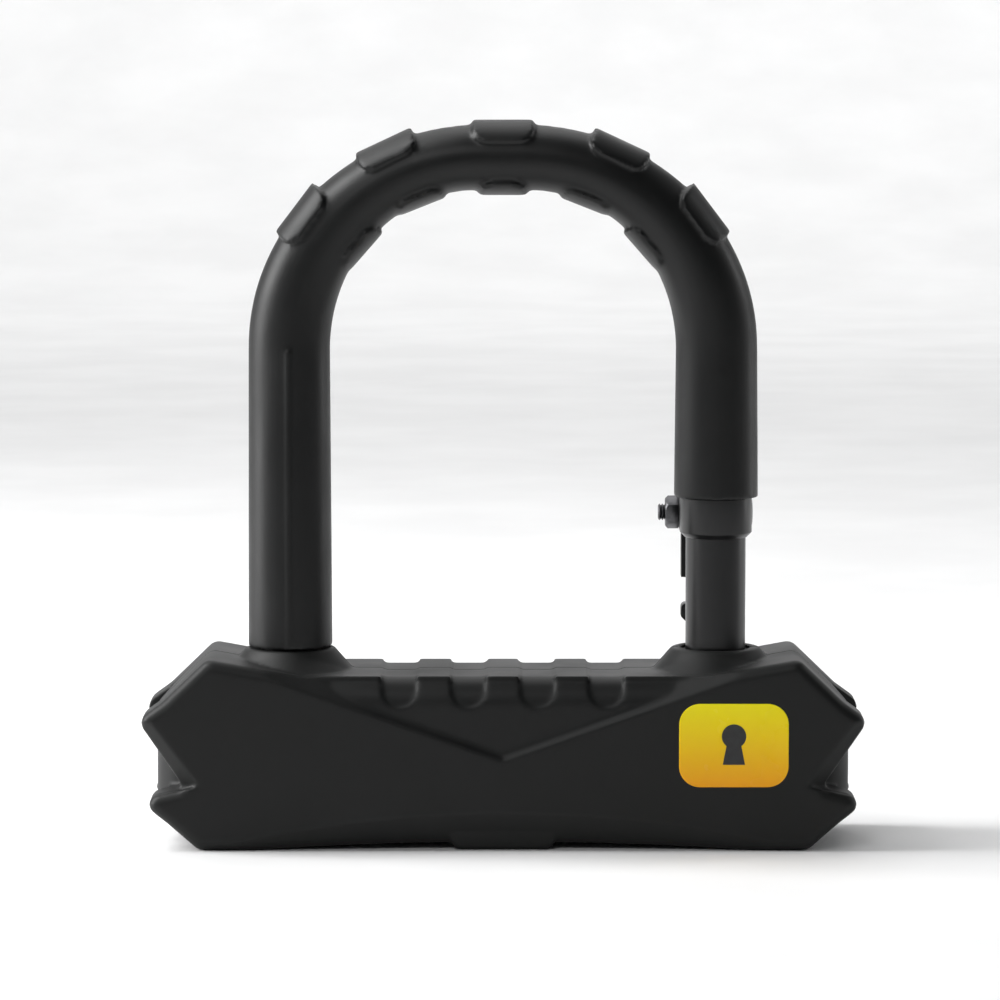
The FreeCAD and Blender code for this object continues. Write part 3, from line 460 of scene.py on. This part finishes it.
# %% [markdown]
# A voxel remesh lays a new skin over everything that overlaps, so the three pieces
# become one closed solid. The smoothing passes then round its edges by about half a
# millimetre, and the decimation takes away the triangles that flat faces don't need.

# %% Rebuild it from voxels and smooth it
SMOOTH_STEP = 0.5         # how far a pass moves a point towards its neighbours' middle
COVER_VOXEL = 0.45 * MM
COVER_PASSES = 7
COVER_KEEP = 0.42         # share of the triangles that is kept

modify(whole, "REMESH", mode="VOXEL", voxel_size=COVER_VOXEL)
modify(whole, "SMOOTH", factor=SMOOTH_STEP, iterations=COVER_PASSES)
modify(whole, "DECIMATE", ratio=COVER_KEEP)
print("whole cover", len(whole.data.polygons), "faces")

# %% [markdown]
# Smoothing has also filled the corners of the groove under the middle, in which the
# dust cover slides to the back. Its path is cut free again with a block that has the
# cover's section, a little play all round, and the length of the slide.

# %% Clear the dust cover's path
DUST_TRAVEL = 10.0 * MM
PATH_PLAY = 0.12 * MM
PATH_SIDE = 0.25 * MM     # more, because the cover's own corners are rounded
PATH_FOOT = 0.92          # the path's width at its foot, as a share of its top

dust_low, dust_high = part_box("dust_cover")
path_low = dust_low - Vector((PATH_SIDE, PATH_PLAY, PATH_PLAY))
path_high = dust_high + Vector((PATH_SIDE, DUST_TRAVEL + PATH_PLAY, PATH_PLAY))
path = block("dust_cover_path", path_low, path_high)
pick(path, "VERT", lambda place: place.z < (path_low.z + path_high.z) / 2)
bpy.ops.transform.resize(value=(PATH_FOOT, 1, 1), center_override=(0, 0, path_low.z))
settle(path, "dust_cover_path")
modify(whole, "BOOLEAN", operation="DIFFERENCE", object=path, solver="EXACT")
bpy.data.objects.remove(path)
print("whole cover with the path cut", len(whole.data.polygons), "faces")

# %% [markdown]
# The cover is cut along the parting plane, once for each half, and each cut is closed.
# The two planes stand a little apart, which leaves the fine dark line of the joint.

# %% Cut it in two at the parting line
PARTING_HALF = 0.14 * MM


def half_of(whole, name, side):
    """One half of the cover, on the front (-1) or the back (1), with its cut closed."""
    piece = twin(whole, name)
    everywhere(piece)
    bpy.ops.mesh.bisect(plane_co=(0, side * PARTING_HALF, 0), plane_no=(0, 1, 0),
                        clear_outer=side < 0, clear_inner=side > 0)
    bpy.ops.mesh.fill(use_beauty=False)
    shade_soft(piece)
    return piece


front_skin = half_of(whole, "front_cover_skin", -1)
rear_skin = half_of(whole, "rear_cover_skin", 1)
bpy.data.objects.remove(whole)
dress(front_skin, "lock_body", "cover_plastic", COVER_PLASTIC, "front_cover")
dress(rear_skin, "lock_body", "cover_plastic", COVER_PLASTIC, "rear_cover")

# %% [markdown]
# ## Badge plate
# The badge is a thin plate with rounded corners and a soft front rim, in a recess of
# the front cover. It starts as a block. Its four corner edges are bevelled round, and
# then its front rim gets a small bevel that catches the light.

# %% Badge plate
BADGE_R = 5.0 * MM
BADGE_R_STEPS = 12
BADGE_RIM = 0.12 * MM
BADGE_RIM_STEPS = 3
INK_THICK = 0.05 * MM     # the sign stands this far in front of the plate

badge_front = badge_low.y + INK_THICK
plate = block("badge_plate", Vector((badge_low.x, badge_front, badge_low.z)), badge_high)
pick(plate, "EDGE", lambda a, b: abs(a.y - b.y) > MERGE)
bpy.ops.mesh.bevel(offset=BADGE_R, segments=BADGE_R_STEPS, affect="EDGES")
pick(plate, "EDGE", lambda a, b: max(a.y, b.y) < badge_front + MERGE)
bpy.ops.mesh.bevel(offset=BADGE_RIM, segments=BADGE_RIM_STEPS, affect="EDGES")
settle(plate, "badge_plate")
dress(plate, "lock_body", "badge_yellow", BADGE_PRINT, "badge")

# %% [markdown]
# ## Keyhole sign
# The badge carries a plain keyhole, which any lock could have. The sign starts as a
# thin disc. The side faces at the bottom of the disc are extruded straight down, and
# the end is made flat and wider, which gives the stem of a keyhole.

# %% Keyhole sign
SIGN_R = 2.9 * MM
SIGN_STEPS = 48
SIGN_RISE = 2.2 * MM      # the disc's centre above the badge's middle
SIGN_DROP = 6.8 * MM      # from the disc's centre to the sign's foot
SIGN_STEM = 0.8           # the stem starts this far down the disc, as a share of SIGN_R
SIGN_FLARE = 1.5          # how much wider the foot is than the start of the stem

badge_middle = (badge_low + badge_high) / 2
sign_z = badge_middle.z + SIGN_RISE
sign_foot = (badge_middle.x, 0, sign_z - SIGN_DROP)
bpy.ops.object.select_all(action="DESELECT")
bpy.ops.mesh.primitive_cylinder_add(vertices=SIGN_STEPS, radius=SIGN_R, depth=2 * INK_THICK,
                                    location=(badge_middle.x, badge_front, sign_z),
                                    rotation=(math.pi / 2, 0, 0))
sign = settle(bpy.context.object, "badge_keyhole_sign")


def under_disc(centre, normal):
    """Whether a face is one of the disc's side faces that the stem grows from."""
    return centre.z < sign_z - SIGN_STEM * SIGN_R and abs(normal.y) < 0.5


pick(sign, "FACE", under_disc)
bpy.ops.mesh.extrude_region_move(TRANSFORM_OT_translate={"value": (0, 0, SIGN_R - SIGN_DROP)})
bpy.ops.transform.resize(value=(SIGN_FLARE, 1, 0), center_override=sign_foot)
settle(sign, "badge_keyhole_sign")
dress(sign, "lock_body", "cover_plastic", MARK_INK)

# %% [markdown]
# ## Sleeve
# The rubber sleeve is moulded with pads outside and inside the bend, which melt into it
# with slopes of more than a millimetre. The two halves of its mould leave a low raised
# seam along the front and the back of the long leg. A seam starts as a small disc at the
# sleeve's foot that is extruded up to the bend, half sunk in the sleeve.

# %% Seams
SEAM_R = 0.62 * MM        # before smoothing, which leaves about a third of it
SEAM_SIDES = 8
SLEEVE_HALF = 9.8 * MM    # the sleeve's half thickness from front to back

sleeve_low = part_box("shackle_sleeve")[0]
bpy.ops.object.select_all(action="DESELECT")
bpy.ops.mesh.primitive_circle_add(vertices=SEAM_SIDES, radius=SEAM_R, fill_type="NGON",
                                  location=(-LEG_X, -SLEEVE_HALF, sleeve_low.z))
seam = bpy.context.object
everywhere(seam)
bpy.ops.mesh.extrude_region_move(TRANSFORM_OT_translate={"value": (0, 0, BEND_Z - sleeve_low.z)})
settle(seam, "sleeve_seam_front")
back_seam = twin(seam, "sleeve_seam_back")
everywhere(back_seam)
bpy.ops.transform.translate(value=(0, 2 * SLEEVE_HALF, 0))
settle(back_seam, "sleeve_seam_back")

# %% [markdown]
# A copy of the frame's sleeve is joined with the two seams and rebuilt from voxels. The
# bend is then smoothed hard and the legs lightly, so that the pads flow into the sleeve
# while its cut ends stay crisp.

# %% Sleeve
SLEEVE_VOXEL = 0.5 * MM
SLEEVE_KEEP = 0.5
PAD_PASSES = 9
LEG_PASSES = 3

sleeve = join([copy_of("shackle_sleeve", "sleeve_body"), seam, back_seam], "sleeve_skin")
modify(sleeve, "REMESH", mode="VOXEL", voxel_size=SLEEVE_VOXEL)
bend_group = sleeve.vertex_groups.new(name="bend")
bend_group.add([v.index for v in sleeve.data.vertices if v.co.z > BEND_Z], 1.0, "REPLACE")
modify(sleeve, "SMOOTH", factor=SMOOTH_STEP, iterations=LEG_PASSES)
modify(sleeve, "SMOOTH", factor=SMOOTH_STEP, iterations=PAD_PASSES, vertex_group="bend")
modify(sleeve, "DECIMATE", ratio=SLEEVE_KEEP)
sleeve.vertex_groups.clear()
shade_soft(sleeve)
dress(sleeve, "shackle", "sleeve_rubber", SLEEVE_RUBBER, "shackle_sleeve")

# %% [markdown]
# ## Clamp bolt
# The clamp's bolt is an M4 screw with a low button head. Its sizes go on a list of
# rings from its tip to its head, each with its place along the bolt and its radius.
# The thread is a row of such rings one pitch apart, which at this size can't be told
# from a helix.

# %% Rings of the clamp bolt
THREAD_PITCH = 0.7 * MM
THREAD_DEPTH = 0.38 * MM
CREST_HALF = 0.06 * MM
SHANK_R = 2.0 * MM
HEAD_HEIGHT = 2.2 * MM
HEAD_EDGE = 1.0 * MM      # radius of the rounded edge of the head
HEAD_STEPS = 6

bolt_low, bolt_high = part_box("clamp_bolt")
nut_far_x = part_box("clamp_nut")[1].x
bolt_axis = (bolt_low + bolt_high) / 2
head_r = (bolt_high.z - bolt_low.z) / 2
seat_x = bolt_high.x - HEAD_HEIGHT
core_r = SHANK_R - THREAD_DEPTH
rings = []
for i in range(int((nut_far_x - bolt_low.x) / THREAD_PITCH)):
    crest_x = bolt_low.x + (i + 0.5) * THREAD_PITCH
    rings += [(crest_x - CREST_HALF, SHANK_R), (crest_x + CREST_HALF, SHANK_R),
              (crest_x + THREAD_PITCH / 2, core_r)]
rings += [(nut_far_x, core_r), (nut_far_x, SHANK_R), (seat_x, SHANK_R), (seat_x, head_r)]
for i in range(HEAD_STEPS + 1):
    turn = math.pi / 2 * i / HEAD_STEPS
    rings.append((bolt_high.x - HEAD_EDGE + HEAD_EDGE * math.sin(turn),
                  head_r - HEAD_EDGE + HEAD_EDGE * math.cos(turn)))
print("clamp bolt", len(rings), "rings")

# %% [markdown]
# The bolt starts as a disc at its tip. For each ring on the list the end face is
# extruded along the bolt and scaled to the ring's radius, as on a lathe.

# %% Clamp bolt
BOLT_SIDES = 40

bpy.ops.object.select_all(action="DESELECT")
bpy.ops.mesh.primitive_circle_add(vertices=BOLT_SIDES, radius=core_r, fill_type="NGON",
                                  location=(bolt_low.x, bolt_axis.y, bolt_axis.z),
                                  rotation=(0, math.pi / 2, 0))
bolt = settle(bpy.context.object, "clamp_bolt_threaded")
everywhere(bolt)
end_x, end_r = bolt_low.x, core_r
for x, r in rings:
    bpy.ops.mesh.extrude_region_move(TRANSFORM_OT_translate={"value": (x - end_x, 0, 0)})
    bpy.ops.transform.resize(value=(1, r / end_r, r / end_r), center_override=bolt_axis)
    end_x, end_r = x, r
settle(bolt, "clamp_bolt_threaded")

# %% [markdown]
# The socket for the hexagon key is cut with a six-sided bar that stands halfway out of
# the head.

# %% Socket in the head
SOCKET_R = 1.44 * MM      # to the corners of a 2.5 mm hexagon
SOCKET_DEPTH = 1.3 * MM

bpy.ops.object.select_all(action="DESELECT")
bpy.ops.mesh.primitive_cylinder_add(vertices=6, radius=SOCKET_R, depth=2 * SOCKET_DEPTH,
                                    location=(bolt_high.x, bolt_axis.y, bolt_axis.z),
                                    rotation=(0, math.pi / 2, 0))
socket = settle(bpy.context.object, "socket_tool")
modify(bolt, "BOOLEAN", operation="DIFFERENCE", object=socket, solver="EXACT")
bpy.data.objects.remove(socket)
settle(bolt, "clamp_bolt_threaded")
dress(bolt, "shackle", "dark_plating", DARK_PLATE, "clamp_bolt")

# %% [markdown]
# ## Pieces that only need softer edges
# The clamp ring, its tongue, the nut and the screws have the right shape already. A
# sharp edge catches no light, so a copy of each has its flat faces made whole again and
# its edges bevelled by the width that its making leaves. The record says which body
# each node belongs to and which slot it has, so both are read from there.

# %% Bodies and slots from the record
FINISHES = {"bar_coating": BAR_COAT, "sleeve_rubber": SLEEVE_RUBBER, "dark_plating": DARK_PLATE,
            "cover_plastic": COVER_PLASTIC, "badge_yellow": BADGE_PRINT, "seal_rubber": SEAL_RUBBER,
            "tube_steel": GROUND_STEEL, "guide_zinc": CAST_ZINC, "disc_brass": BRASS}

slot_of = {part["node"]: part["material_slot"] for part in frame["record"]["subparts"]}
body_of = {}
for body, nodes in frame["record"]["behaviour"]["bodies"].items():
    for node in nodes:
        body_of[node] = body

# %% Soften edges
FLAT_ANGLE = math.radians(2)
BEVEL_ANGLE = math.radians(30)
BEVEL_STEPS = 2
SOFT_PIECES = (("clamp_ring", "clamp_ring_soft", 0.25 * MM),
               ("bracket_tongue", "bracket_tongue_soft", 0.35 * MM),
               ("clamp_nut", "clamp_nut_soft", 0.12 * MM),
               ("cover_screws", "cover_screws_soft", 0.1 * MM))

for node, name, width in SOFT_PIECES:
    piece = copy_of(node, name)
    everywhere(piece)
    bpy.ops.mesh.dissolve_limited(angle_limit=FLAT_ANGLE)
    modify(piece, "BEVEL", width=width, segments=BEVEL_STEPS, limit_method="ANGLE",
           angle_limit=BEVEL_ANGLE)
    settle(piece, name)
    dress(piece, body_of[node], slot_of[node], FINISHES[slot_of[node]], node)

# %% [markdown]
# ## Finishes of the other nodes
# Every other node keeps its mesh and gets the finish that its slot in the record names.

# %% Finishes of the other nodes
for node, slot in slot_of.items():
    mesh = frame["nodes"][node].data
    mesh.materials.clear()
    mesh.materials.append(FINISHES[slot])
print(len(slot_of), "nodes finished")
